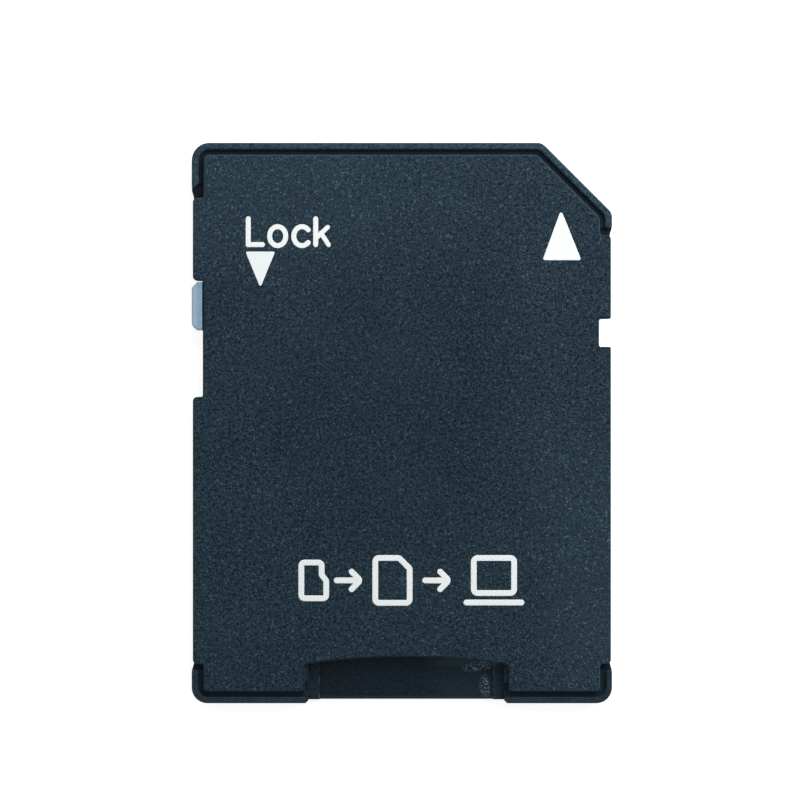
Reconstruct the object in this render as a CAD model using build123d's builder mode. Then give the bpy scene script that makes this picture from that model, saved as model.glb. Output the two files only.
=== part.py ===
"""Memory card adapter: a flat two-part shell, the size of a full-size memory card, that takes a
small memory card in a slot at its rear end and passes its contacts on to the front end.

Frame, in millimetres: the origin is the centre of the bottom face, +X is to the right seen from
the label side, +Y points to the front end, which enters the reader, and +Z comes up out of the
label side.
"""

import os
from math import sqrt

from build123d import *

# Full-size card
card_width = 24.0
card_length = 32.0
card_height = 2.1
corner_cut = 4.0
corner_radius = 1.0
rear_corner_radius = 0.9
cut_blend = 0.6
rail_width = 0.75
waist = 0.1  # between the rims the sides of the housing lie this far in
waist_slant = 0.35  # over which they go in
cover_waist = 0.07
foot_chamfer = 0.12
rail_chamfer = 0.06

# Heights above the bottom face
contact_plane = 0.7  # top of the floor, face of the pads and underside of the side rails
parting_height = 1.4  # where the cover meets the housing
rim_drop = 0.12  # from the label face down to the rims
cover_plate = 0.35

# Rims and grooves round both ends, seen from the label side
front_rim_width = 0.4
rear_rim_width = 0.36
groove_width = 0.32  # at the rear end
groove_depth = 0.36  # below the rims
left_rim_length = 2.75
left_rim_slant = 0.45
right_rim_length = 4.87
rear_rim_length = 1.9
front_rim_gap = 0.4  # from the end of a rim to the shoulder of the cover
rear_rim_gap = 0.35
shoulder_round = 0.25
shoulder_inner_round = 0.15
rim_end_round = 0.12
edge_chamfer = 0.08

# Walls of the shell
wall = 1.1
inner_round = 0.25
fit_gap = 0.05  # between pieces that are laid into each other
run_gap = 0.04  # round a piece that moves

# Lock slot on the left side, catch notch on the right side
lock_slot_start = 7.87  # from the front end of the card
lock_slot_length = 6.64
lock_slot_depth = 0.64
catch_start = 10.05
catch_length = 1.6
catch_depth = 0.75
slot_corner_round = 0.12
slot_mouth_round = 0.24
catch_mouth_round = 0.08

# Small memory card that the slot takes
small_width = 11.0
small_length = 15.0
small_nose_width = 9.7
small_nose_length = 6.4
small_step_length = 1.3
small_first_pad = 1.0  # from its straight side to the middle of its nearest pad
small_pad_pitch = 1.1
small_notch_middle = 8.7  # from its nose

# Slot for the small card
slot_middle = 0.25
slot_side_gap = 0.1
slot_nose_gap = 0.05
slot_rail_height = 0.25  # the card slides this far above the floor
slot_rail_width = 0.65
slot_rail_bevel = 0.1
lip_bevel = 0.2  # lead-in for the small card, at the lip of the slot
bay_wall = 0.6
keeper = 0.5
lip_inset = 0.16
recess_side = 0.2  # the recess in the cover is wider than the slot by this on each side
recess_depth = 2.66  # at its middle, from the rear end of the card
recess_rise = 0.43
recess_round = 0.25

# Contacts, stamped from one sheet
sheet = 0.15
pad_gap = 0.5
narrow_pad_width = 1.6
edge_pad_width = 1.2
pad_lap = 0.15  # each pad lies this far over the edges of its window
first_pad = 3.125  # from the side with the cut corner to the middle of the pad
last_pad = 1.75  # from the lock side
narrow_pad_step = 2.425
edge_pad_step = 1.7
trunk_width = 0.5
strap_width = 0.25
link_width = 0.3
link_setback = 0.55  # from the front of the terminal block
finger_width = 0.45
finger_apex = 2.6  # from the stop of the small card to the highest point of a finger
finger_tip = 3.7
finger_lift = 0.4  # of the apex above the rails, with no card in the slot
tip_drop = 0.05  # of the tip's upper edge below the rails
finger_bend = 0.5
strap_clear = 0.3  # from the tips to the ground strap that goes round them

# How the room from the stop of the small card to the front wall is shared out
block_share = 0.15
trunk_end_share = 0.067  # straight ends of the strips at the terminal block
trunk_start_share = 0.041  # straight starts of the strips behind the pads
pad_share = 0.296

# Terminal block
comb_gap = 0.03

# Lock slider
slider_length = 2.75
slider_start = 0.08  # from the front end of its slot, at rest
slider_foot_drop = 0.05  # of its tab inside the two faces of the rail
slider_front_chamfer = 0.32
slider_rear_chamfer = 0.28
slider_rear_round = 0.4
slider_edge_round = 0.12
slider_web_length = 2.1
slider_web_height = 0.55
slider_sill = 1.02  # height of the opening that its web runs in
slider_foot_length = 3.3
slider_foot_width = 0.55
guide_rib = 0.4

# Card latch, a leaf spring beside the slot
leaf = 0.12
leaf_height = 0.7
leaf_offset = 0.6  # from the side of the slot to the middle of the leaf
leaf_reach = 0.9  # of its catch, towards the slot
catch_half = 0.85
latch_anchor = 4.2  # from the stop of the small card to the front end of the leaf
anchor_length = 0.95
anchor_foot = 0.5
anchor_gap = 0.07
latch_tail = 1.2
latch_bend = 0.15
latch_end_gap = 0.25
catch_gap = 0.15
latch_pocket_wall = 0.3
latch_pocket_width = 1.0
latch_outer_wall = 0.5

# Pins of the cover, and the bosses of the housing that take them
pin_radius = 0.45
pin_end_gap = 0.15
boss_radius = 1.0
boss_side = 1.7  # from the inside of the side walls
boss_rear = 3.5  # from the rear end
boss_setback = 2.2  # behind the stop of the small card
front_boss_side = 3.0
front_boss_ahead = 1.65  # in front of the terminal block

# Ribs of the cover that hold the contacts down
hold_rib = 0.5
front_hold_rib = 1.0  # from the front wall to the middle of the rib
rear_hold_rib = 0.9  # from the rear ends of the pads

# Ribs across the side pockets of the housing
pocket_rib = 0.5
pocket_rib_y = -7.8

# Values that follow from the sizes above
half_width = card_width / 2
half_length = card_length / 2
housing_side = half_width - waist
cover_side = half_width - cover_waist
cover_inset = rear_rim_width + groove_width
cover_underside = card_height - cover_plate
rim_top = card_height - rim_drop
rail_top = contact_plane + slot_rail_height
contact_top = contact_plane + sheet
cavity_side = half_width - wall

left_rim_end = half_length - left_rim_length
right_rim_end = half_length - right_rim_length
rear_rim_end = -half_length + rear_rim_length
left_shoulder = left_rim_end - front_rim_gap
right_shoulder = right_rim_end - front_rim_gap
rear_shoulder = rear_rim_end + rear_rim_gap

lip_y = -half_length + lip_inset
small_nose_y = lip_y + small_length
stop_y = small_nose_y + slot_nose_gap
slot_left = slot_middle - small_width / 2 - slot_side_gap
slot_right = slot_middle + small_width / 2 + slot_side_gap
nose_right = slot_left + small_nose_width + 2 * slot_side_gap
step_front = small_nose_y - small_nose_length
step_rear = step_front - small_step_length
front_room = half_length - wall - stop_y
block_front = stop_y + front_room * block_share
bay_front = block_front + fit_gap + keeper

lock_slot_front = half_length - lock_slot_start
lock_slot_rear = lock_slot_front - lock_slot_length
lock_wall_x = -half_width + lock_slot_depth
catch_front = half_length - catch_start
catch_rear = catch_front - catch_length
catch_wall_x = half_width - catch_depth

slider_front = lock_slot_front - slider_start
slider_rear = slider_front - slider_length
slider_middle = (slider_front + slider_rear) / 2
slider_travel = slider_rear - lock_slot_rear - run_gap
web_bottom = slider_sill + run_gap
web_top = web_bottom + slider_web_height
web_room_front = slider_middle + slider_web_length / 2 + run_gap
web_room_rear = slider_middle - slider_travel - slider_web_length / 2 - run_gap
foot_left = -cavity_side + run_gap
foot_right = foot_left + slider_foot_width

leaf_x = slot_right + leaf_offset
latch_front = stop_y - latch_anchor
anchor_rear = latch_front - anchor_length
catch_y = small_nose_y - small_notch_middle
latch_rear = catch_y - catch_half - latch_tail
pocket_left = slot_right + latch_pocket_wall
pocket_right = pocket_left + latch_pocket_width
pocket_rear = latch_rear - latch_end_gap

pad_length = front_room * pad_share
pad_rear = half_length - wall - pad_length
fan_front = pad_rear - front_room * trunk_start_share
fan_rear = block_front + front_room * trunk_end_share
strap_y = stop_y - finger_tip - strap_clear - strap_width / 2
link_y = block_front - link_setback

wide_pads = card_width - first_pad - last_pad - narrow_pad_step - edge_pad_step
pad_pitch = wide_pads / 6
pad_width = pad_pitch - pad_gap

boss_x = cavity_side - boss_side
front_boss = (cavity_side - front_boss_side, block_front + front_boss_ahead)
boss_spots = ((boss_x, -half_length + boss_rear), (boss_x, stop_y - boss_setback), front_boss)


def nearest(shape, *spots):
    """The vertices of a shape that lie nearest to the given points."""
    return [shape.vertices().sort_by_distance(Vector(*spot))[0] for spot in spots]


def box(left, right, rear, front, low, high, mode=Mode.ADD):
    """A block between two values on each axis, put into the part being built."""
    with Locations(((left + right) / 2, (rear + front) / 2, (low + high) / 2)):
        Box(right - left, front - rear, high - low, mode=mode)


def card_outline(inset=0.0):
    """The full-size card seen from the label side, drawn in by inset all round."""
    x = half_width - inset
    y = half_length - inset
    cut = corner_cut - inset * (2 - sqrt(2))
    with BuildSketch(mode=Mode.PRIVATE) as face:
        with BuildLine():
            Polyline((-x, -y), (x, -y), (x, y - cut), (x - cut, y), (-x, y), close=True)
        make_face()
        fillet(nearest(face, (-x, y)), max(corner_radius - inset, inner_round))
        fillet(nearest(face, (-x, -y), (x, -y)), max(rear_corner_radius - inset, inner_round))
        fillet(nearest(face, (x, y - cut), (x - cut, y)), cut_blend)
    return face.sketch


def side_slots(face, side):
    """Cuts the lock slot and the catch notch in the outline face, whose sides are at side."""
    with Locations((-half_width, (lock_slot_front + lock_slot_rear) / 2)):
        Rectangle(2 * lock_slot_depth, lock_slot_length, mode=Mode.SUBTRACT)
    with Locations((half_width, (catch_front + catch_rear) / 2)):
        Rectangle(2 * catch_depth, catch_length, mode=Mode.SUBTRACT)
    for wall_x, front, rear, mouth in (
        (lock_wall_x, lock_slot_front, lock_slot_rear, slot_mouth_round),
        (catch_wall_x, catch_front, catch_rear, catch_mouth_round),
    ):
        mouth_x = side if wall_x > 0 else -side
        fillet(nearest(face, (wall_x, front), (wall_x, rear)), slot_corner_round)
        fillet(nearest(face, (mouth_x, front), (mouth_x, rear)), mouth)


def end_rim(width, rear, front):
    """The rim of the given width round the card, between two values along it."""
    with BuildSketch(mode=Mode.PRIVATE) as face:
        add(card_outline())
        add(card_outline(width), mode=Mode.SUBTRACT)
        with Locations((0, (rear + front) / 2)):
            Rectangle(card_width, front - rear, mode=Mode.INTERSECT)
    return face.sketch


def both_rims(front_width, rear_width):
    """The rims round both ends of the card, from their outer sides to the given widths."""
    with BuildSketch(mode=Mode.PRIVATE) as face:
        add(end_rim(front_width, right_rim_end, half_length))
        add(end_rim(rear_width, -half_length, rear_rim_end))
        with BuildLine():
            Polyline(
                (-card_width, right_rim_end),
                (0, right_rim_end),
                (0, left_rim_end + left_rim_slant),
                (-half_width + front_rim_width, left_rim_end + left_rim_slant),
                (-half_width, left_rim_end),
                (-card_width, left_rim_end),
                close=True,
            )
        make_face(mode=Mode.SUBTRACT)
    return face.sketch


def cover_outline():
    """The cover seen from above: behind the rims at both ends, out to the sides between them."""
    inner = half_width - cover_inset
    end = half_length - cover_inset
    cut = corner_cut - cover_inset * (2 - sqrt(2))
    with BuildSketch(mode=Mode.PRIVATE) as face:
        with BuildLine():
            Polyline(
                (-inner, end),
                (inner - cut, end),
                (inner, end - cut),
                (inner, right_shoulder),
                (cover_side, right_shoulder),
                (cover_side, rear_shoulder),
                (inner, rear_shoulder),
                (inner, -end),
                (-inner, -end),
                (-inner, rear_shoulder),
                (-cover_side, rear_shoulder),
                (-cover_side, left_shoulder),
                (-inner, left_shoulder),
                close=True,
            )
        make_face()
        fillet(nearest(face, (-inner, end)), max(corner_radius - cover_inset, inner_round))
        rear_round = max(rear_corner_radius - cover_inset, inner_round)
        fillet(nearest(face, (inner, -end), (-inner, -end)), rear_round)
        fillet(nearest(face, (inner - cut, end), (inner, end - cut)), cut_blend)
        shoulders = (
            (cover_side, right_shoulder),
            (cover_side, rear_shoulder),
            (-cover_side, rear_shoulder),
            (-cover_side, left_shoulder),
        )
        fillet(nearest(face, *shoulders), shoulder_round)
        insides = (
            (inner, right_shoulder),
            (inner, rear_shoulder),
            (-inner, rear_shoulder),
            (-inner, left_shoulder),
        )
        fillet(nearest(face, *insides), shoulder_inner_round)
        side_slots(face, cover_side)
    return face.sketch


def slot_outline(inset, rear, front):
    """The slot for the small card seen from above, drawn in by inset at both sides."""
    left = slot_left + inset
    right = slot_right - inset
    nose = nose_right - inset
    with BuildSketch(mode=Mode.PRIVATE) as face:
        with BuildLine():
            Polyline(
                (left, rear),
                (right, rear),
                (right, step_rear),
                (nose, step_front),
                (nose, front),
                (left, front),
                close=True,
            )
        make_face()
    return face.sketch


def mouth_outline():
    """The shallow notch in the rear end, from which the slot opens."""
    reach = 2 * lip_inset
    with BuildSketch(mode=Mode.PRIVATE) as face:
        with BuildLine():
            Polyline(
                (slot_left, lip_y),
                (slot_left - reach, lip_y - reach),
                (slot_right + reach, lip_y - reach),
                (slot_right, lip_y),
                close=True,
            )
        make_face()
    return face.sketch


# Pads from the cut corner to the lock side, and the fingers from the lock side to the other
pads = {}
pad_x = half_width - first_pad
for name in ("nine", "one", "two", "three", "four", "five", "six"):
    pads[name] = (pad_x, pad_width)
    pad_x -= pad_pitch
pads["seven"] = (pads["six"][0] - narrow_pad_step, narrow_pad_width)
pads["eight"] = (pads["seven"][0] - edge_pad_step, edge_pad_width)
first_finger = slot_left + slot_side_gap + small_first_pad
finger_names = ("dat1", "dat0", "ground", "clk", "vdd", "cmd", "dat3", "dat2")
fingers = {name: first_finger + i * small_pad_pitch for i, name in enumerate(finger_names)}
signals = {
    "dat2": "nine",
    "dat3": "one",
    "cmd": "two",
    "vdd": "four",
    "clk": "five",
    "dat0": "seven",
    "dat1": "eight",
}
strap_right = (fingers["vdd"] + fingers["cmd"]) / 2
strap_left = (fingers["ground"] + fingers["clk"]) / 2

bosses = [(side * x, y) for x, y in boss_spots for side in (-1, 1)]


# Bottom housing
with BuildPart() as housing:
    # Sides and end walls up to the parting plane
    with BuildSketch(Plane.XY.offset(contact_plane)) as sides:
        add(card_outline())
        for side, rim_end in ((-1, left_rim_end), (1, right_rim_end)):
            with BuildLine():
                Polyline(
                    (side * half_width, rim_end),
                    (side * housing_side, rim_end - waist_slant),
                    (side * housing_side, rear_rim_end + waist_slant),
                    (side * half_width, rear_rim_end),
                    close=True,
                )
            make_face(mode=Mode.SUBTRACT)
        side_slots(sides, housing_side)
    extrude(amount=parting_height - contact_plane)
    long_edges = housing.edges().filter_by(Axis.Y).group_by(Axis.Z)[0]
    chamfer([edge for edge in long_edges if abs(edge.center().X) > cavity_side], rail_chamfer)

    # Floor, narrower than the card by a rail at each side
    with BuildSketch():
        add(card_outline())
        Rectangle(card_width - 2 * rail_width, card_length, mode=Mode.INTERSECT)
    extrude(amount=contact_plane)
    chamfer(housing.faces().sort_by(Axis.Z)[0].outer_wire().edges(), foot_chamfer)

    # Room inside the walls
    with BuildSketch(Plane.XY.offset(contact_plane)):
        add(card_outline(wall))
    extrude(amount=parting_height - contact_plane, mode=Mode.SUBTRACT)

    # Rims round both ends, and the floors of the grooves between them and the cover
    with BuildSketch(Plane.XY.offset(parting_height)):
        add(both_rims(cover_inset, cover_inset))
    extrude(amount=rim_top - groove_depth - parting_height)
    with BuildSketch(Plane.XY.offset(parting_height)) as rims:
        add(both_rims(front_rim_width, rear_rim_width))
        rim_ends = (
            (-half_width, left_rim_end),
            (half_width, right_rim_end),
            (half_width - front_rim_width, right_rim_end),
            (half_width, rear_rim_end),
            (half_width - rear_rim_width, rear_rim_end),
            (-half_width, rear_rim_end),
            (-half_width + rear_rim_width, rear_rim_end),
        )
        fillet(nearest(rims, *rim_ends), rim_end_round)
    extrude(amount=rim_top - parting_height)
    rim_edges = housing.edges().group_by(Axis.Z)[-1]
    chamfer(rim_edges, edge_chamfer)

    # Mouth and slot through the rear wall
    with BuildSketch():
        add(mouth_outline())
    extrude(amount=card_height, mode=Mode.SUBTRACT)
    box(
        slot_left, slot_right, -card_length, -half_length + wall, contact_plane, card_height,
        mode=Mode.SUBTRACT,
    )

    # Rails that the small card slides on
    with BuildSketch(Plane.XY.offset(contact_plane)):
        add(slot_outline(0, lip_y, stop_y - fit_gap))
        add(slot_outline(slot_rail_width, lip_y - wall, stop_y), mode=Mode.SUBTRACT)
    extrude(amount=slot_rail_height)
    rail_edges = housing.edges().filter_by_position(Axis.Z, rail_top - 0.01, rail_top + 0.01)
    inner_rails = (slot_left + slot_rail_width, slot_right - slot_rail_width)
    beside = [min(abs(edge.center().X - x) for x in inner_rails) for edge in rail_edges]
    bevelled = [edge for edge, away in zip(rail_edges, beside) if away < 0.01]
    chamfer(bevelled, slot_rail_bevel)
    floor_edges = housing.edges().filter_by_position(Axis.Z, contact_plane - 0.01, contact_plane + 0.01)
    chamfer(floor_edges.sort_by_distance(Vector(slot_middle, lip_y, contact_plane))[0], lip_bevel)

    # Walls beside the slot and the terminal block
    with BuildSketch(Plane.XY.offset(contact_plane)):
        add(slot_outline(-bay_wall, lip_y + bay_wall, bay_front))
        add(slot_outline(0, lip_y, bay_front), mode=Mode.SUBTRACT)
    extrude(amount=parting_height - contact_plane)
    with BuildSketch(Plane.XY.offset(parting_height)):
        add(slot_outline(-bay_wall, -half_length + wall + fit_gap, bay_front))
        add(slot_outline(0, lip_y, bay_front), mode=Mode.SUBTRACT)
    extrude(amount=cover_underside - parting_height)
    for left, right in ((slot_left, slot_left + keeper), (nose_right - keeper, nose_right)):
        box(left, right, bay_front - keeper, bay_front, contact_plane, cover_underside)

    # Mount of the card latch
    box(
        slot_right,
        pocket_right + latch_outer_wall,
        pocket_rear - latch_pocket_wall,
        latch_front + anchor_gap + latch_pocket_wall,
        contact_plane,
        cover_underside,
    )
    room = leaf / 2 + anchor_gap
    for left, right, rear, front in (
        (pocket_left, pocket_right, pocket_rear, anchor_rear),
        (leaf_x - room, leaf_x + room, anchor_rear, latch_front + anchor_gap),
        (
            leaf_x,
            leaf_x + anchor_foot + anchor_gap,
            latch_front - leaf - anchor_gap,
            latch_front + anchor_gap,
        ),
        (slot_right, pocket_left, catch_y - catch_half - catch_gap, catch_y + catch_half + catch_gap),
    ):
        box(left, right, rear, front, contact_plane, cover_underside, mode=Mode.SUBTRACT)

    # Opening and guide rib of the lock slider
    box(
        lock_wall_x - slot_corner_round, -cavity_side, web_room_rear, web_room_front,
        slider_sill, parting_height, mode=Mode.SUBTRACT,
    )
    guide_left = foot_right + run_gap
    box(
        guide_left,
        guide_left + guide_rib,
        slider_middle - slider_travel - slider_foot_length / 2,
        slider_middle + slider_foot_length / 2,
        contact_plane,
        parting_height,
    )

    # Bosses, and ribs across the pockets beside the slot
    with BuildSketch(Plane.XY.offset(contact_plane)):
        with Locations(*bosses):
            Circle(boss_radius)
    extrude(amount=cover_underside - contact_plane)
    with BuildSketch(Plane.XY.offset(contact_plane)):
        with Locations(*bosses):
            Circle(pin_radius + fit_gap)
    extrude(amount=cover_underside - contact_plane, mode=Mode.SUBTRACT)
    for left, right in (
        (-cavity_side, slot_left - bay_wall),
        (pocket_right + latch_outer_wall, cavity_side),
    ):
        rib_rear = pocket_rib_y - pocket_rib / 2
        box(left, right, rib_rear, rib_rear + pocket_rib, contact_plane, parting_height)

    # Contact windows in the underside, open to the front end
    for pad_x, width in pads.values():
        half = width / 2 - pad_lap
        box(
            pad_x - half, pad_x + half, pad_rear + pad_lap, card_length, 0, contact_plane,
            mode=Mode.SUBTRACT,
        )
housing.part.label = "bottom_housing"


# Top cover
with BuildPart() as cover:
    with BuildSketch(Plane.XY.offset(parting_height)):
        add(cover_outline())
    extrude(amount=card_height - parting_height)

    # Room inside its skirt
    with BuildSketch(Plane.XY.offset(parting_height)):
        add(card_outline(wall))
    extrude(amount=cover_underside - parting_height, mode=Mode.SUBTRACT)

    # Recess over the mouth, for a fingernail
    recess_left = slot_left - recess_side
    recess_right = slot_right + recess_side
    recess_top = -half_length + recess_depth
    recess_shoulder = recess_top - recess_rise
    with BuildSketch(Plane.XY.offset(parting_height)) as recess:
        with BuildLine():
            ThreePointArc(
                (recess_left, recess_shoulder),
                (slot_middle, recess_top),
                (recess_right, recess_shoulder),
            )
            Polyline(
                (recess_right, recess_shoulder),
                (recess_right, -card_length),
                (recess_left, -card_length),
                (recess_left, recess_shoulder),
            )
        make_face()
        arch_ends = ((recess_left, recess_shoulder), (recess_right, recess_shoulder))
        fillet(nearest(recess, *arch_ends), recess_round)
    extrude(amount=card_height - parting_height, mode=Mode.SUBTRACT)
    chamfer(cover.faces().sort_by(Axis.Z)[-1].outer_wire().edges(), edge_chamfer)

    # Room for the web of the lock slider
    box(
        lock_wall_x - slot_corner_round, -cavity_side, web_room_rear, web_room_front,
        parting_height, web_top + run_gap, mode=Mode.SUBTRACT,
    )

    # Pins
    with BuildSketch(Plane.XY.offset(contact_plane + pin_end_gap)):
        with Locations(*bosses):
            Circle(pin_radius)
    extrude(amount=cover_underside - contact_plane - pin_end_gap)

    # Ribs that hold the contacts down
    with BuildSketch(Plane.XY.offset(contact_top)):
        for rib_y in (half_length - wall - front_hold_rib, pad_rear + rear_hold_rib):
            with Locations((0, rib_y)):
                Rectangle(card_width, hold_rib)
        add(card_outline(wall + fit_gap), mode=Mode.INTERSECT)
    extrude(amount=cover_underside - contact_top)
cover.part.label = "top_cover"


# Terminal block, combed over the strips
block_left = slot_left + fit_gap
block_right = nose_right - fit_gap
with BuildPart() as block:
    box(block_left, block_right, stop_y, block_front, contact_plane, cover_underside)
    channels = [(x, trunk_width, stop_y, block_front) for x in fingers.values()]
    channels += [
        (strap_right, strap_width, stop_y, block_front),
        (strap_left, strap_width, stop_y, link_y + link_width / 2),
    ]
    channel_top = contact_top + comb_gap
    for x, width, rear, front in channels:
        half = width / 2 + comb_gap
        end = front if front == block_front else front + comb_gap
        box(x - half, x + half, rear, end, contact_plane, channel_top, mode=Mode.SUBTRACT)
    box(
        fingers["ground"],
        strap_left,
        link_y - link_width / 2 - comb_gap,
        link_y + link_width / 2 + comb_gap,
        contact_plane,
        channel_top,
        mode=Mode.SUBTRACT,
    )
block.part.label = "terminal_block"


def pad_and_trunk(name, end_x, end_y):
    """Draws a pad and the strip that runs from it to end_x and end_y."""
    pad_x, width = pads[name]
    with BuildSketch(mode=Mode.PRIVATE) as plan:
        with Locations((pad_x, pad_rear + pad_length / 2)):
            Rectangle(width, pad_length)
        add(card_outline(wall + fit_gap), mode=Mode.INTERSECT)
        with BuildLine():
            Polyline(
                (pad_x, pad_rear + trunk_width), (pad_x, fan_front), (end_x, fan_rear), (end_x, end_y)
            )
        trace(line_width=trunk_width)
    return plan.sketch


def finger_side():
    """Draws the side view of the sprung finger that all contacts end in."""
    middle = contact_plane + sheet / 2
    apex = rail_top + finger_lift - sheet / 2
    tip = rail_top - tip_drop - sheet / 2
    with BuildSketch(mode=Mode.PRIVATE) as side_view:
        with BuildLine():
            FilletPolyline(
                (stop_y + trunk_width, middle),
                (stop_y - sheet, middle),
                (stop_y - finger_apex, apex),
                (stop_y - finger_tip, tip),
                radius=finger_bend,
            )
        trace(line_width=sheet)
    return side_view.sketch


# Contacts
contacts = []
for signal, pad_name in signals.items():
    with BuildPart() as contact:
        with BuildSketch(Plane.XY.offset(contact_plane)):
            add(pad_and_trunk(pad_name, fingers[signal], stop_y))
        extrude(amount=sheet)
        with BuildSketch(Plane.YZ.offset(fingers[signal])):
            add(finger_side())
        extrude(amount=finger_width / 2, both=True)
    contact.part.label = "contact_" + signal
    contacts.append(contact.part)

# Ground contact, with two pads joined by a strap that goes round the tips of three fingers
with BuildPart() as ground:
    with BuildSketch(Plane.XY.offset(contact_plane)):
        add(pad_and_trunk("six", fingers["ground"], stop_y))
        add(pad_and_trunk("three", strap_right, fan_rear - strap_width))
        with BuildLine():
            Polyline(
                (strap_right, fan_rear),
                (strap_right, strap_y),
                (strap_left, strap_y),
                (strap_left, link_y),
            )
        trace(line_width=strap_width)
        with BuildLine():
            Line((fingers["ground"], link_y), (strap_left + strap_width / 2, link_y))
        trace(line_width=link_width)
    extrude(amount=sheet)
    with BuildSketch(Plane.YZ.offset(fingers["ground"])):
        add(finger_side())
    extrude(amount=finger_width / 2, both=True)
ground.part.label = "contact_ground"
contacts.append(ground.part)


# Lock slider
with BuildPart() as slider:
    tab_left = -half_width
    tab_right = lock_wall_x - run_gap
    tab_low = contact_plane + slider_foot_drop
    tab_high = card_height - slider_foot_drop
    with BuildSketch(Plane.XY.offset(tab_low)) as tab:
        with Locations(((tab_left + tab_right) / 2, slider_middle)):
            Rectangle(tab_right - tab_left, slider_length)
        chamfer(nearest(tab, (tab_left, slider_front)), slider_front_chamfer)
        chamfer(nearest(tab, (tab_left, slider_rear)), slider_rear_chamfer)
        bend = (tab_left, slider_rear + slider_rear_chamfer)
        fillet(nearest(tab, bend), slider_rear_round)
    extrude(amount=tab_high - tab_low)
    outer = [edge for edge in slider.edges().group_by(Axis.Z)[-1] if edge.center().X < tab_right]
    fillet(outer, slider_edge_round)
    web = slider_web_length / 2
    box(tab_right, foot_left, slider_middle - web, slider_middle + web, web_bottom, web_top)
    foot = slider_foot_length / 2
    box(
        foot_left,
        foot_right,
        slider_middle - foot,
        slider_middle + foot,
        contact_plane + run_gap,
        cover_underside - run_gap,
    )
slider.part.label = "lock_slider"


# Card latch
with BuildPart() as latch:
    leaf_low = contact_plane + (cover_underside - contact_plane - leaf_height) / 2
    with BuildSketch(Plane.XY.offset(leaf_low)):
        with BuildLine():
            FilletPolyline(
                (leaf_x + anchor_foot, latch_front - leaf / 2),
                (leaf_x, latch_front - leaf / 2),
                (leaf_x, catch_y + catch_half),
                (leaf_x - leaf_reach, catch_y),
                (leaf_x, catch_y - catch_half),
                (leaf_x, latch_rear),
                radius=latch_bend,
            )
        trace(line_width=leaf)
    extrude(amount=leaf_height)
latch.part.label = "card_latch"


os.makedirs("parts", exist_ok=True)
export_step(housing.part, "parts/bottom_housing.step")
export_step(cover.part, "parts/top_cover.step")
export_step(block.part, "parts/terminal_block.step")
export_step(slider.part, "parts/lock_slider.step")
export_step(latch.part, "parts/card_latch.step")
for contact_part in contacts:
    export_step(contact_part, "parts/" + contact_part.label + ".step")
print("slider travel", round(slider_travel, 3), "latch pivot", round(leaf_x, 3))
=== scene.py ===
# %% [markdown]
# # Memory card adapter
# The object is a flat shell of two moulded halves. It has the size of a full-size memory card
# and takes a small card in a slot at its rear end. The solid model gives every shape that
# measures something, so this file brings it in first and then gives it its finishes, its white
# print, and the light and camera of a product picture. Lengths in Blender are in metres.

# %% Load the solid model
from math import pi

import bmesh
import bpy
import numpy as np
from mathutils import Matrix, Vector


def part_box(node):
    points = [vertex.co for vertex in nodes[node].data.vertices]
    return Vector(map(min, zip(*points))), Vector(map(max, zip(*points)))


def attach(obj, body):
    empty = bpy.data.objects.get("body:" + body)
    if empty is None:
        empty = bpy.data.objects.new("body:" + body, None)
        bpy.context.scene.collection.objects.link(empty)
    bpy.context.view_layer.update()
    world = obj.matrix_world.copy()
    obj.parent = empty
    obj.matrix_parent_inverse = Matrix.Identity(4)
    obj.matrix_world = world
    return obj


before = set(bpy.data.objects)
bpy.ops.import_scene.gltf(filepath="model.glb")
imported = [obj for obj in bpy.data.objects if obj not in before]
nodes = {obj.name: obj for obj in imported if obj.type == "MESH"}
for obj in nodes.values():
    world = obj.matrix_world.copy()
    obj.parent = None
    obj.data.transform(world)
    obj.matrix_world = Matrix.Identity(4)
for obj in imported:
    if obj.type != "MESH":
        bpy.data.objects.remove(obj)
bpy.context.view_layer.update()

mm = 0.001

# %% [markdown]
# ## Camera
# The picture looks straight down on the label side, with the front end at the top. A long lens
# far away gives almost no perspective, as in such pictures. The distance follows from the width
# that the lens shows at the label face, and the camera stands over the middle of the picture,
# which lies a little beside the middle of the object.

# %% Camera
label_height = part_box("top_cover")[1].z
shown_width = 45.64 * mm
picture_middle = (-0.1085 * mm, 1.314 * mm)
sensor_width = 36.0
lens = 200.0
distance = shown_width * lens / sensor_width

camera_data = bpy.data.cameras.new("camera")
camera_data.lens = lens
camera_data.sensor_width = sensor_width
camera_data.clip_start = 0.005
camera = bpy.data.objects.new("camera", camera_data)
camera.location = (*picture_middle, label_height + distance)
bpy.context.scene.collection.objects.link(camera)
bpy.context.scene.camera = camera
print("camera height in mm", round(camera.location.z / mm, 1))

# %% [markdown]
# ## Writing finishes as sums
# A finish is a graph of nodes, and most of its nodes only add, multiply and compare. Such a
# graph reads best as a formula. The class below holds one socket. Python's own operators on it
# add the Math nodes, and `node` adds every other kind, so a finish stays a few lines long.


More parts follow.
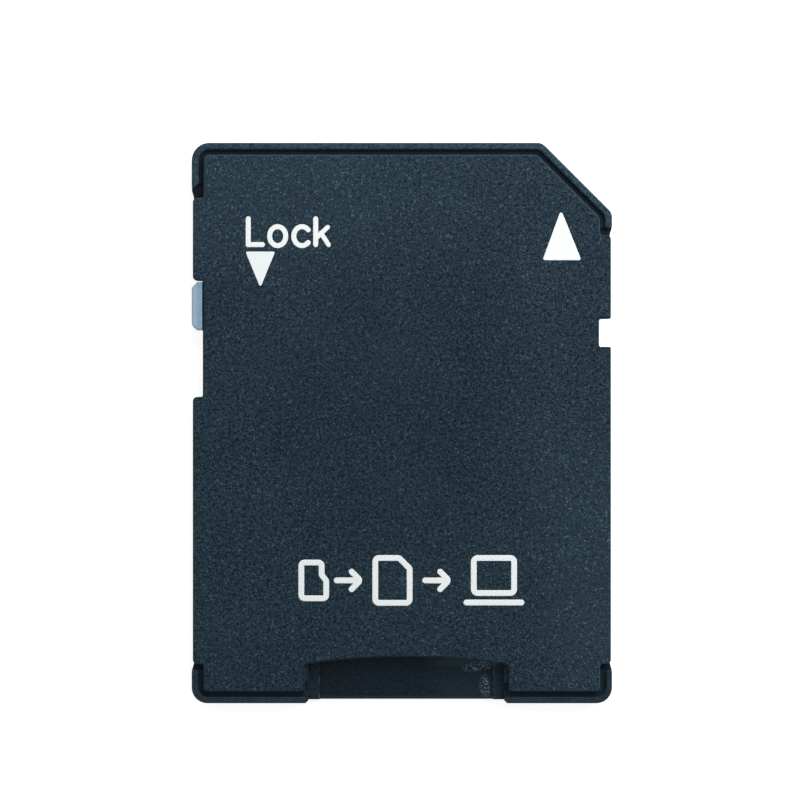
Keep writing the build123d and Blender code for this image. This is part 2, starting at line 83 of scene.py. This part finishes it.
# %% A wire between nodes
class Wire:
    """One socket in a finish. Operators on it add Math nodes, and node() adds any other."""

    def __init__(self, tree, socket=None):
        self.tree = tree
        self.socket = socket

    def node(self, kind, settings=None, inputs=None, output=0):
        """Adds a node: first its settings, then the values or wires of its sockets."""
        made = self.tree.nodes.new("ShaderNode" + kind)
        for name, value in (settings or {}).items():
            setattr(made, name, value)
        for name, value in (inputs or {}).items():
            if isinstance(value, Wire):
                self.tree.links.new(made.inputs[name], value.socket)
            else:
                made.inputs[name].default_value = value
        return Wire(self.tree, made.outputs[output])

    def math(self, operation, first, second):
        return self.node("Math", {"operation": operation}, {0: first, 1: second})

    def __add__(self, other):
        return self.math("ADD", self, other)

    def __radd__(self, other):
        return self.math("ADD", other, self)

    def __sub__(self, other):
        return self.math("SUBTRACT", self, other)

    def __rsub__(self, other):
        return self.math("SUBTRACT", other, self)

    def __mul__(self, other):
        return self.math("MULTIPLY", self, other)

    def __rmul__(self, other):
        return self.math("MULTIPLY", other, self)

    def __truediv__(self, other):
        return self.math("DIVIDE", self, other)

    def __rtruediv__(self, other):
        return self.math("DIVIDE", other, self)

    def __abs__(self):
        return self.node("Math", {"operation": "ABSOLUTE"}, {0: self})


def paint(red, green, blue):
    """A colour given as 0 to 255 on screen, as the light values that shaders use.

    With c = value / 255, the light value is ((c + 0.055) / 1.055) to the power 2.4 where c is
    above 0.04045, and c / 12.92 below that.
    """
    c = np.array([red, green, blue]) / 255
    light = np.where(c > 0.04045, ((c + 0.055) / 1.055) ** 2.4, c / 12.92)
    return (*light.tolist(), 1.0)


# %% [markdown]
# ## Patterns in millimetres
# Every finish reads the place on the piece from Object coordinates. The pieces lie in the
# model's own frame, so a pattern stays fixed to its piece when that piece moves. The place is
# turned into millimetres, and each pattern then states the size of its grain in millimetres.


# %% Start a finish, and its patterns
def start_finish(name, specular=0.5, metallic=0.0):
    """A material with one Principled shader, and a wire that carries the place in mm."""
    material = bpy.data.materials.new(name)
    material.use_nodes = True
    shader = material.node_tree.nodes["Principled BSDF"]
    shader.inputs["Specular IOR Level"].default_value = specular
    shader.inputs["Metallic"].default_value = metallic
    metres = Wire(material.node_tree).node("TexCoord", output="Object")
    place = metres.node("VectorMath", {"operation": "SCALE"}, {0: metres, "Scale": 1 / mm})
    return material, shader, place


def grain(place, size, detail=2.0, shift=0.0):
    """Noise from 0 to 1 whose grains are about size millimetres wide."""
    moved = place.node("VectorMath", {"operation": "ADD"}, {0: place, 1: (shift, shift, shift)})
    return place.node("TexNoise", {}, {"Vector": moved, "Scale": 1 / size, "Detail": detail})


def axes(place):
    """The three coordinates of the place, each as a wire."""
    return [place.node("SeparateXYZ", {}, {0: place}, output=i) for i in range(3)]


def step(value, low, high):
    """Rises smoothly from 0 to 1 while value goes from low to high.

    With t = (value - low) / (high - low), kept between 0 and 1, it is 3 t^2 - 2 t^3.
    """
    sockets = {"Value": value, "From Min": low, "From Max": high}
    return value.node("MapRange", {"interpolation_type": "SMOOTHSTEP"}, sockets)


def within(value, low, high, soft):
    """1 where value lies between low and high, with edges that are soft millimetres wide."""
    return step(value, low - soft, low) * (1 - step(value, high, high + soft))


def from_middle(x, y, middle, reach):
    """((x - middle x) / reach x)^2 + ((y - middle y) / reach y)^2, which is 1 on an ellipse."""
    across = (x - middle[0]) / reach[0]
    along = (y - middle[1]) / reach[1]
    return across * across + along * along


def blend(factor, first, second):
    """The first colour where factor is 0, the second where it is 1."""
    sockets = {0: factor, 6: first, 7: second}
    return factor.node("Mix", {"data_type": "RGBA"}, sockets, output=2)


def bump(height, strength, depth):
    """A normal that looks as if the surface rose by depth millimetres where height is 1."""
    sockets = {"Strength": strength, "Distance": depth * mm, "Height": height}
    return height.node("Bump", {}, sockets)


def connect(shader, **wires):
    """Links wires to the shader's sockets: base_color goes to Base Color, and so on."""
    for name, wire in wires.items():
        wire.tree.links.new(shader.inputs[name.replace("_", " ").title()], wire.socket)


# %% [markdown]
# ## Cover plastic
# The cover is a dark blue-grey plastic with a spark-eroded grain: pits and peaks about a tenth
# of a millimetre wide, which the tool's surface leaves on the moulding. Light catches single
# peaks, so the grain shows as pale and dark specks. Two sizes of noise give the grain, a third
# one paints single specks paler as painted highlights, and a slow cloud keeps the field from
# looking even.
#
# The middle is a little darker, a painted shade, and two places are paler, a painted light: the
# front end on the slider's side, and the other side from the middle to the rear, where the specks
# are brighter too. The bevel round the top is paler than the field, a painted highlight, but darker
# along both sides and round the recess over the slot, a painted shade.


# %% Cover plastic
fine_size = 0.088
coarse_size = 0.2
spark_size = 0.105
cloud_size = 5.0


def grained(place, dark, pale, glint_colour, glint_share):
    """The relief of a grained plastic from 0 to 1, and its colour.

    The relief is 0.6 fine + 0.4 coarse noise. Low parts are dark and high ones pale, and the last
    argument is the share of the glint colour, a painted highlight, that the brightest specks take.
    """
    relief = 0.6 * grain(place, fine_size, detail=1.0) + 0.4 * grain(place, coarse_size, shift=7.3)
    cloud = grain(place, cloud_size, shift=3.1)
    colour = blend(step(relief + 0.08 * (cloud - 0.5), 0.34, 0.66), dark, pale)
    # Painted highlight: the brightest specks take a paler colour.
    spark = step(grain(place, spark_size, detail=0.0, shift=13.7), 0.66, 0.8)
    return relief, blend(spark * glint_share, colour, glint_colour)


cover_plastic, shader, place = start_finish("cover_plastic", specular=0.08)
x, y, z = axes(place)
cover_dark = paint(1, 17, 26)

# Painted light: paler at the front end on the slider's side and along the other side from the middle
# to the rear.
front_light_field = step(y, 6.0, 13.0) * (1 - step(x, -8.0, 8.0))
side_light_field = step(x, 6.5, 10.0) * (1 - step(y, -5.0, 1.0))
painted_light_fields = front_light_field + side_light_field
glint_share = 0.45 + 0.25 * painted_light_fields
relief, colour = grained(place, cover_dark, paint(47, 66, 79), paint(92, 113, 127), glint_share)
# Painted shade: darker in the middle of the face.
shade_middle = (0.0, 2.0)
shade_reach = (8.0, 10.0)
painted_middle_shade = 1 - step(from_middle(x, y, shade_middle, shade_reach), 0.2, 1.3)
colour = blend(0.18 * painted_middle_shade, colour, cover_dark)
colour = blend(0.14 * painted_light_fields, colour, paint(62, 84, 99))

label_top = label_height / mm
bevel_start = label_top - 0.07
bevel_end = label_top - 0.015
edge = step(z, bevel_start, bevel_start + 0.02) * (1 - step(z, bevel_end, bevel_end + 0.01))
side_bevel = (10.86, 11.05)
side_rear = (-13.7, -13.5)
side_front = (10.6, 10.8)
along_sides = step(abs(x), *side_bevel) * step(y, *side_rear) * (1 - step(y, *side_front))
slot_middle = 0.25
recess_reach = 6.0
recess_front = (-13.35, -12.85)
from_recess = (x - slot_middle) / recess_reach
near_recess = 1 - step(from_recess * from_recess + step(y, *recess_front), 0.98, 1.02)
# Painted highlight and painted shade on the bevel: paler than the field, but darker along both sides
# and round the recess.
bevel_shade = step(along_sides + near_recess, 0.0, 1.0)
bevel = blend(bevel_shade, paint(66, 86, 100), paint(12, 22, 29))
connect(
    shader,
    base_color=blend(edge * (0.6 + 0.2 * near_recess), colour, bevel),
    roughness=0.54 + 0.16 * (1 - relief),
    normal=bump(relief, 0.6, 0.02),
)
nodes["top_cover"].data.materials.clear()
nodes["top_cover"].data.materials.append(cover_plastic)
print("cover", len(cover_plastic.node_tree.nodes), "nodes")

# %% [markdown]
# ## Housing plastic
# The rims round both ends and the whole underside belong to the housing. It is the same plastic
# with less contrast in its grain, except on the rims of the front end, which are a little paler
# and as lively as the cover. The bottom of the groove behind the rims is painted darker, a painted
# shade that is deepest towards the front end, and so is the floor that the small card slides on.
#
# That floor is painted paler on its ledges and where it goes in under the cover, and paler
# towards the right, most of all under the cover, as painted light. The edges of its two rails carry
# a broken pale line, a painted highlight. In two spots near the mouth the cards that went in have
# scuffed it, and single grains shine.


# %% Housing plastic
def scuff(place, middle, turn, length, width):
    """A scuffed spot: an ellipse round the middle, turned by degrees, in which single grains shine.

    The ellipse is carried to a circle of radius 1. The spot is full up to 0.4 from the middle
    and fades out at 1, and a fine noise breaks it up into specks.
    """
    x, y = middle
    flat = place.node("VectorMath", {"operation": "MULTIPLY"}, {0: place, 1: (1.0, 1.0, 0.0)})
    sockets = {
        0: flat,
        "Location": (x, y, 0),
        "Rotation": (0, 0, np.radians(turn)),
        "Scale": (length, width, 1),
    }
    local = place.node("Mapping", {"vector_type": "TEXTURE"}, sockets)
    away = place.node("VectorMath", {"operation": "LENGTH"}, {0: local}, output=1)
    specks = step(grain(flat, 0.085, detail=1.0, shift=x), 0.46, 0.62)
    return step(1 - away, 0.0, 0.6) * specks


housing_plastic, shader, place = start_finish("housing_plastic", specular=0.1)
relief, colour = grained(place, paint(22, 36, 46), paint(42, 58, 70), paint(70, 88, 100), 0.25)
x, y, z = axes(place)
relief_tone = step(relief, 0.34, 0.66)
front_rims = step(y, 6.0, 13.0) * step(z, 1.86, 1.92)
rim_tone = blend(relief_tone, paint(18, 40, 52), paint(60, 80, 92))
colour = blend(0.8 * front_rims, colour, rim_tone)

slot_half = 5.7
slot_end = -1.0
across = abs(x - slot_middle)
beside_slot = step(across, slot_half, slot_half + 0.02)
in_slot = (1 - beside_slot) * (1 - step(y, slot_end, slot_end + 0.1)) * step(z, 0.5, 0.6)
# Painted shade and painted light on the slot floor: it is darker than the rest of the housing, and
# paler on its ledges and where it goes in under the cover.
ledge = step(z, 0.8, 0.94)
inwards = step(y, -14.6, -13.3)
painted_light_lift = 0.6 * ledge + 0.5 * inwards
floor_dark = blend(painted_light_lift, paint(0, 10, 20), paint(12, 28, 39))
floor_pale = blend(painted_light_lift, paint(20, 37, 48), paint(40, 58, 70))
floor_tone = blend(relief_tone, floor_dark, floor_pale)
# Painted light: paler towards the right, most of all under the cover.
to_the_right = step(x, 0.8, 3.0) * (1 - step(x, 5.2, 6.0))
under_cover = step(y, -14.1, -13.7)
painted_light_haze = to_the_right * (0.06 + 0.43 * under_cover)
floor_tone = blend(painted_light_haze, floor_tone, paint(80, 104, 118))

faces_up = step(axes(place.node("NewGeometry", output="Normal"))[2], 0.5, 0.8)
groove = within(z, 1.35, 1.66, 0.03) * faces_up
# Painted shade: the bottom of the groove is darker, most of all towards the front end.
groove_shade = blend(step(y, -12.0, 12.0), paint(22, 36, 45), paint(14, 27, 36))
dark = blend(groove * (1 - 0.7 * in_slot), blend(in_slot, colour, floor_tone), groove_shade)

rail_edge = 4.98
rails = within(z, 0.72, 0.96, 0.01) * within(across, rail_edge - 0.05, rail_edge + 0.05, 0.02)
# Painted highlight: a broken pale line along the inner edges of the rails.
rail_highlight = rails * in_slot * step(grain(place, 0.3, shift=4.4), 0.35, 0.6)
inner_spot = scuff(place, (4.4, -13.95), turn=8, length=1.3, width=0.4)
outer_spot = scuff(place, (4.75, -15.1), turn=95, length=0.9, width=0.4)
spots = (inner_spot + 0.75 * outer_spot) * in_slot
# The pale colour carries both the painted rail highlight and the scuffed spots.
highlight_and_wear = step(0.3 * rail_highlight + spots, 0.0, 1.0)
connect(
    shader,
    base_color=blend(highlight_and_wear, dark, paint(118, 140, 152)),
    roughness=0.5 + 0.1 * (1 - relief) - 0.12 * in_slot,
    normal=bump(relief * (1 - 0.8 * in_slot), 0.5, 0.008),
)
nodes["bottom_housing"].data.materials.clear()
nodes["bottom_housing"].data.materials.append(housing_plastic)
print("housing", len(housing_plastic.node_tree.nodes), "nodes")

# %% [markdown]
# ## The other finishes
# The lock slider is moulded in a pale blue-grey plastic that stands out from the shell. The
# contacts are stamped from one strip and plated with gold, and the latch is bright spring
# steel. Metals get their whole look from reflection, so they have no pattern in their colour
# beyond a slight unevenness of the plating, and fine marks that run along the strip.

# %% Slider, contacts, latch and terminal block
slider_plastic, shader, place = start_finish("slider_plastic", specular=0.4)
fine = grain(place, 0.22)
cloud = grain(place, 1.4, shift=5.0)
tone = blend(step(0.6 * cloud + 0.4 * fine, 0.3, 0.7), paint(122, 155, 178), paint(138, 170, 190))
x, y, z = axes(place)
slider_low, slider_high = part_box("lock_slider")
outer = slider_low.x / mm
rear = slider_low.y / mm
top = slider_high.z / mm
# Painted light: the outer side of the slider is paler, and a paler painted highlight runs on its
# outer face and rear bevel.
outer_side = 1 - step(x, outer + 0.05, outer + 0.45)
tone = blend(0.7 * outer_side, tone, paint(170, 190, 203))
outer_face = 1 - step(x, outer + 0.01, outer + 0.1)
rear_bevel = 1 - step(y, rear + 0.335, rear + 0.475)
below_top = 1 - step(z, top - 0.08, top - 0.005)
edge_highlight = step(outer_face + rear_bevel, 0.0, 1.0) * below_top
connect(
    shader,
    base_color=blend(edge_highlight, tone, paint(206, 222, 232)),
    roughness=0.38 + 0.1 * cloud,
    normal=bump(fine, 0.3, 0.006),
)

gold_plating, shader, place = start_finish("gold_plating", metallic=1.0)
marks = place.node("VectorMath", {"operation": "MULTIPLY"}, {0: place, 1: (14.0, 1.2, 14.0)})
lines = grain(marks, 1.0, detail=3.0)
cloud = grain(place, 0.9, shift=2.0)
connect(
    shader,
    base_color=blend(step(cloud, 0.35, 0.65), paint(226, 184, 104), paint(240, 204, 132)),
    roughness=0.2 + 0.16 * lines,
    normal=bump(lines, 0.25, 0.004),
)

spring_steel, shader, place = start_finish("spring_steel", metallic=1.0)
marks = place.node("VectorMath", {"operation": "MULTIPLY"}, {0: place, 1: (1.0, 1.0, 16.0)})
lines = grain(marks, 1.0, detail=3.0)
connect(
    shader,
    base_color=blend(lines, paint(176, 178, 180), paint(206, 208, 210)),
    roughness=0.22 + 0.2 * lines,
    normal=bump(lines, 0.2, 0.004),
)

block_plastic, shader, place = start_finish("block_plastic", specular=0.4)
relief, colour = grained(place, paint(16, 17, 19), paint(32, 33, 35), paint(50, 52, 54), 0.2)
connect(shader, base_color=colour, roughness=0.4 + 0.1 * relief, normal=bump(relief, 0.4, 0.006))

finishes = {
    "lock_slider": slider_plastic,
    "card_latch": spring_steel,
    "terminal_block": block_plastic,
}
for name in nodes:
    if name.startswith("contact_"):
        finishes[name] = gold_plating
for name, finish in finishes.items():
    nodes[name].data.materials.clear()
    nodes[name].data.materials.append(finish)
print("finished", sorted(finishes))

# %% [markdown]
# ## Print as a skin of ink
# The white marks are pad-printed: a film of ink that stands a hundredth of a millimetre proud,
# with soft shoulders. A line of print is a flat, closed skin: its cross-section is carried along
# the middle of the stroke, and it narrows like a circle at both ends. A solid mark is the same
# skin drawn from a centre to its outline. Both are worked out as whole arrays of points.


# %% Surfaces from grids of points
def unit(vectors):
    """Vectors divided by their lengths."""
    return vectors / np.linalg.norm(vectors, axis=-1, keepdims=True)


def quads(rows, columns, closed_rows=False):
    """Faces between neighbours on a grid. Its columns always close into a ring."""
    last = rows if closed_rows else rows - 1
    i, j = np.meshgrid(np.arange(last), np.arange(columns), indexing="ij")
    k, l = (i + 1) % rows, (j + 1) % columns
    corners = (i * columns + j, i * columns + l, k * columns + l, k * columns + j)
    return np.stack(corners, -1).reshape(-1, 4)


def section(count=12):
    """A closed cross-section: side = cos t, and height = 1.7 sin t kept between -1 and 1."""
    t = np.arange(count) * 2 * pi / count
    return np.cos(t), np.clip(1.7 * np.sin(t), -1, 1)


def stroke(path, half_width, film, closed=False):
    """A line of print, as its points and faces, in millimetres.

    At the distance s along the path the half width is w(s) = sqrt(w^2 - (w - s)^2) near an
    end, as in a circle, and w elsewhere. A point is path + w(s) cos t across + film z(t) up.
    """
    path = np.array(path, float)
    ahead = unit(np.roll(path, -1, 0) - path)
    behind = unit(path - np.roll(path, 1, 0))
    if not closed:
        path[0] -= ahead[0] * half_width
        path[-1] += behind[-1] * half_width
        run = np.r_[0, np.cumsum(np.linalg.norm(np.diff(path, axis=0), axis=1))]
        near = half_width * (1 - np.cos(np.linspace(0, pi / 2, 7)))
        between = run[(run > near[-1]) & (run < run[-1] - near[-1])]
        s = np.unique(np.round(np.r_[near, between, run[-1] - near], 7))
        path = np.stack([np.interp(s, run, path[:, axis]) for axis in (0, 1)], 1)
        ahead = unit(np.diff(path, axis=0, append=2 * path[-1:] - path[-2:-1]))
        behind = unit(np.diff(path, axis=0, prepend=2 * path[:1] - path[1:2]))
        inside = np.clip(half_width - np.minimum(s, run[-1] - s), 0, half_width)
        width = np.sqrt(np.maximum(half_width**2 - inside**2, 0))
    else:
        width = np.full(len(path), half_width)
    along = unit(ahead + behind)
    across = np.stack([along[:, 1], -along[:, 0]], 1)
    side, height = section()
    plan = path[:, None] + across[:, None] * (width[:, None] * side)[..., None]
    rise = film * np.minimum(1, 3 * width / half_width)[:, None] * height
    points = np.concatenate([plan, rise[..., None]], -1).reshape(-1, 3)
    return points, quads(len(path), len(side), closed)


def patch(outline, centre, film):
    """A solid mark: rings of its outline drawn in towards the centre, below and then above.

    With v from 0 to 1, a point is centre + r(v) (outline - centre), where r rises to 1 at the
    edge and falls back to 0, and its height goes from -film to film across the edge.
    """
    outline = np.asarray(outline, float)
    centre = np.asarray(centre, float)
    reach = np.array([0, 0.5, 0.96, 0.99, 1, 0.99, 0.96, 0.5, 0])
    level = np.array([-1, -1, -1, -0.7, 0, 0.7, 1, 1, 1]) * film
    plan = centre + reach[:, None, None] * (outline - centre)
    rise = np.broadcast_to(level[:, None, None], plan.shape[:2] + (1,))
    points = np.concatenate([plan, rise], -1).reshape(-1, 3)
    return points, quads(len(reach), len(outline))


merge_distance = 0.0002 * mm


def print_piece(name, skins, finish):
    """Joins skins into one piece on the label face, and closes its ends and centres.

    There all points of a ring fall on one place, so merging them closes the skin.
    """
    starts = np.cumsum([0] + [len(points) for points, _ in skins[:-1]])
    points = np.concatenate([points for points, _ in skins])
    faces = np.concatenate([faces + start for (_, faces), start in zip(skins, starts)])
    points = points * mm + np.array([0, 0, label_height])
    mesh = bpy.data.meshes.new(name)
    mesh.from_pydata(points.tolist(), [], faces.tolist())
    merged = bmesh.new()
    merged.from_mesh(mesh)
    bmesh.ops.remove_doubles(merged, verts=merged.verts, dist=merge_distance)
    bmesh.ops.recalc_face_normals(merged, faces=merged.faces)
    merged.to_mesh(mesh)
    merged.free()
    mesh.materials.append(finish)
    piece = bpy.data.objects.new(name, mesh)
    bpy.context.scene.collection.objects.link(piece)
    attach(piece, "housing")
    print(name, len(mesh.polygons), "faces")


# %% [markdown]
# ## Lines with rounded corners
# The symbols are drawn with a round pen. A path is a list of corners, and each corner is
# replaced by an arc that touches both of its runs.


# %% Rounded paths and arcs
def rounded(corners, radius, closed=True, steps=6):
    """Corners rounded by arcs.

    At a corner p, with a and b the unit vectors back and ahead along its runs, half is half
    the angle between them. The arc's centre is p + unit(a + b) radius / sin(half), and it
    turns between the two points where it touches the runs.
    """
    p = np.asarray(corners, float)
    a = unit(np.roll(p, 1, 0) - p)
    b = unit(np.roll(p, -1, 0) - p)
    inner = p if closed else p[1:-1]
    a, b = (a, b) if closed else (a[1:-1], b[1:-1])
    half = np.arccos(np.clip((a * b).sum(1), -1, 1))[:, None] / 2
    centre = inner + unit(a + b) * radius / np.sin(half)
    first = inner + a * radius / np.tan(half) - centre
    last = inner + b * radius / np.tan(half) - centre
    turn = (pi - 2 * half)[:, None]
    t = np.linspace(0, 1, steps)[None, :, None]
    arcs = np.sin((1 - t) * turn) * first[:, None] + np.sin(t * turn) * last[:, None]
    arcs = (centre[:, None] + arcs / np.sin(turn)).reshape(-1, 2)
    return arcs if closed else np.concatenate([p[:1], arcs, p[-1:]])


def oval(centre, reach, start, end, steps=40):
    """Points centre + reach (cos a, sin a) while the angle a goes from start to end degrees."""
    a = np.radians(np.linspace(start, end, steps, endpoint=abs(end - start) < 360))
    return np.asarray(centre) + np.stack([reach[0] * np.cos(a), reach[1] * np.sin(a)], 1)


# %% [markdown]
# ## White ink
# The ink is a dense, matt white. Its film follows the grain below it a little, so it gets a
# faint bump and a very slight change of tone.

# %% White ink
white_ink, shader, place = start_finish("white_ink", specular=0.3)
fine = grain(place, 0.16)
connect(
    shader,
    base_color=blend(fine, (0.9, 0.95, 0.95, 1.0), (0.97, 1.0, 1.0, 1.0)),
    roughness=0.55 + 0.1 * fine,
    normal=bump(fine, 0.25, 0.004),
)
print("ink", len(white_ink.node_tree.nodes), "nodes")

# %% [markdown]
# ## Legend of the lock
# Beside the slider stands the word for what it does, as ON and OFF would on a switch, with a
# triangle that points the way to push it. The letters are plain round-ended lines. Where two
# lines cross, one film is a little higher, so that their faces don't lie in one plane. The other
# triangle shows which end goes into the reader.

# %% Legend and triangles
pen = 0.143
thin_pen = 0.13
film = 0.011
letter_top = 11.65
baseline = 10.18
bowl_middle = 10.66
bowl_radius = 0.54
l_left = -8.77
k_left = -4.92
legend = [
    stroke([(l_left, letter_top), (l_left, baseline)], pen, film),
    stroke([(l_left, baseline), (-7.96, baseline)], pen, film * 1.1),
    stroke(oval((-7.09, bowl_middle), (0.46, bowl_radius), 0, 360), pen, film, closed=True),
    stroke(oval((-5.70, bowl_middle), (0.47, bowl_radius), 42, 318), pen, film),
    stroke([(k_left, letter_top), (k_left, baseline)], pen, film),
    stroke([(-4.88, 10.56), (-4.24, 11.17)], thin_pen, film * 1.1),
    stroke([(-4.62, 10.84), (-4.19, 10.17)], thin_pen, film * 1.2),
]
print_piece("lock_legend", legend, white_ink)

lock_corners = [(-8.93, 9.78), (-7.23, 9.78), (-8.08, 7.72)]
lock_middle = (-8.08, 9.1)
print_piece("lock_triangle", [patch(rounded(lock_corners, 0.07), lock_middle, film)], white_ink)
insert_corners = [(9.08, 12.18), (8.02, 9.29), (10.24, 9.29)]
insert_middle = (9.1, 10.2)
print_piece("insert_triangle", [patch(rounded(insert_corners, 0.1), insert_middle, film)], white_ink)

# %% [markdown]
# ## Row of symbols
# The wide mark near the slot is a row of symbols that says what the object is for: a small
# card goes into a full-size one, and that goes into a reader.

# %% Row of symbols
pen = 0.165
middle = -8.98


def small_card(left):
    """Outline of a small card, standing on its contacts' side, with the step at its right."""
    corners = [(0, -1.02), (1.42, -1.02), (1.42, -0.02), (1.16, 0.32), (1.16, 1.02), (0, 1.02)]
    return rounded(np.add(corners, (left, middle)), 0.18)


def full_card(left):
    """Outline of a full-size card with its cut corner."""
    corners = [(0, -1.28), (1.96, -1.28), (1.96, 0.68), (1.36, 1.28), (0, 1.28)]
    return rounded(np.add(corners, (left, middle)), 0.2)


def arrow(left, length=1.35, head=0.5):
    """The shaft and the head of an arrow that points to the right."""
    tip = left + length
    shaft = [(left, middle), (tip - 0.1, middle)]
    point = [(tip - head, middle + head), (tip, middle), (tip - head, middle - head)]
    point = rounded(point, 0.17, closed=False)
    return [stroke(shaft, pen, film), stroke(point, pen, film * 1.15)]


screen_corners = [(0.42, -0.72), (2.72, -0.72), (2.72, 1.28), (0.42, 1.28)]
reader_left = 3.68
reader_right = 6.82
reader_foot = middle - 1.26
screen = rounded(np.add(screen_corners, (reader_left, middle)), 0.22)
symbols = [
    stroke(small_card(-5.74), pen, film, closed=True),
    *arrow(-3.72),
    stroke(full_card(-1.52), pen, film, closed=True),
    *arrow(1.33),
    stroke(screen, pen, film, closed=True),
    stroke([(reader_left, reader_foot), (reader_right, reader_foot)], pen, film),
]
print_piece("symbol_row", symbols, white_ink)

# %% [markdown]
# ## Floor and light
# The object lies on a plain white floor. A wide soft lamp beyond its cut corner lights it a little
# more there than at the other end, and a dim even sky fills the shadows. The floor is a matt
# white that also glows for the rays that look at it, from the camera, in a reflection or through
# something clear. So it is white in the picture, without any more light on the object, and still
# takes a faint shadow. It is a ring from just under the object's edge outwards, and its lower
# side is clear, so that a camera below it sees the underside of the object.

# %% Floor
foot_side = 11
foot_end = 15.7
foot_cut = 3.2
foot_corners = [
    (-foot_side, -foot_end),
    (foot_side, -foot_end),
    (foot_side, foot_end - foot_cut),
    (foot_side - foot_cut, foot_end),
    (-foot_side, foot_end),
]
floor_reach = 1500
floor_level = -0.01
foot = rounded(foot_corners, 0.8)
ring = np.stack([unit(foot) * floor_reach, foot])
levels = np.full(ring.shape[:2] + (1,), floor_level)
floor_points = np.concatenate([ring, levels], -1).reshape(-1, 3) * mm
floor_mesh = bpy.data.meshes.new("floor")
floor_mesh.from_pydata(floor_points.tolist(), [], quads(2, len(foot)).tolist())
floor = bpy.data.objects.new("floor", floor_mesh)
bpy.context.scene.collection.objects.link(floor)


def white_rays(start):
    """1 for rays that look at the background, directly, in a reflection or through something clear.

    It is 0 for the rays that gather light for a surface.
    """
    camera_ray = start.node("LightPath", output="Is Camera Ray")
    glossy_ray = start.node("LightPath", output="Is Glossy Ray")
    clear_ray = start.node("LightPath", output="Is Transmission Ray")
    return step(camera_ray + glossy_ray + clear_ray, 0.0, 1.0)


paper = bpy.data.materials.new("white_paper")
paper.use_nodes = True
paper.node_tree.nodes.clear()
start = Wire(paper.node_tree)
seen = white_rays(start)
below = start.node("NewGeometry", output="Backfacing")
matt = start.node("BsdfDiffuse", {}, {"Color": (0.86, 0.86, 0.86, 1.0)})
glow = start.node("Emission", {}, {"Color": (1.0, 1.0, 1.0, 1.0), "Strength": 0.79 * seen})
lit = start.node("AddShader", {}, {0: matt, 1: glow})
sheet = start.node("MixShader", {}, {0: below, 1: lit, 2: start.node("BsdfTransparent")})
ending = paper.node_tree.nodes.new("ShaderNodeOutputMaterial")
paper.node_tree.links.new(ending.inputs["Surface"], sheet.socket)
floor_mesh.materials.append(paper)
print("floor faces up", round(floor_mesh.polygons[0].normal.z, 3))

# %% [markdown]
# The sky is white for the same rays and dim for the light that falls on the object, so the lamp
# does most of the lighting. Below the horizon it is white for everything, which lights the
# underside when the object is seen from there and changes nothing above the floor. The lamp is
# square, 90 mm wide, stands 75 mm above the floor, and is turned towards the object.

# %% Sky and lamp
world = bpy.data.worlds.new("studio")
world.use_nodes = True
bpy.context.scene.world = world
sky_tree = world.node_tree
sky_start = Wire(sky_tree)
sky_seen = white_rays(sky_start)
height = axes(sky_start.node("TexCoord", output="Generated"))[2]
white = 1 - (1 - sky_seen) * step(height, -0.02, 0.0)
sky_light = 0.3
background = sky_tree.nodes["Background"]
background.inputs["Color"].default_value = (1.0, 1.0, 1.0, 1.0)
sky_tree.links.new(background.inputs["Strength"], (sky_light + (1 - sky_light) * white).socket)

lamp_data = bpy.data.lights.new("soft_lamp", "AREA")
lamp_data.size = 90 * mm
lamp_data.energy = 0.1
lamp = bpy.data.objects.new("soft_lamp", lamp_data)
lamp.location = (38 * mm, 56 * mm, 75 * mm)
lamp.rotation_mode = "QUATERNION"
lamp.rotation_quaternion = lamp.location.to_track_quat("Z", "Y")
lamp.visible_camera = False
bpy.context.scene.collection.objects.link(lamp)
bpy.context.scene.view_settings.view_transform = "Standard"
print("lamp", round(lamp.location.length / mm), "mm from the middle of the floor")
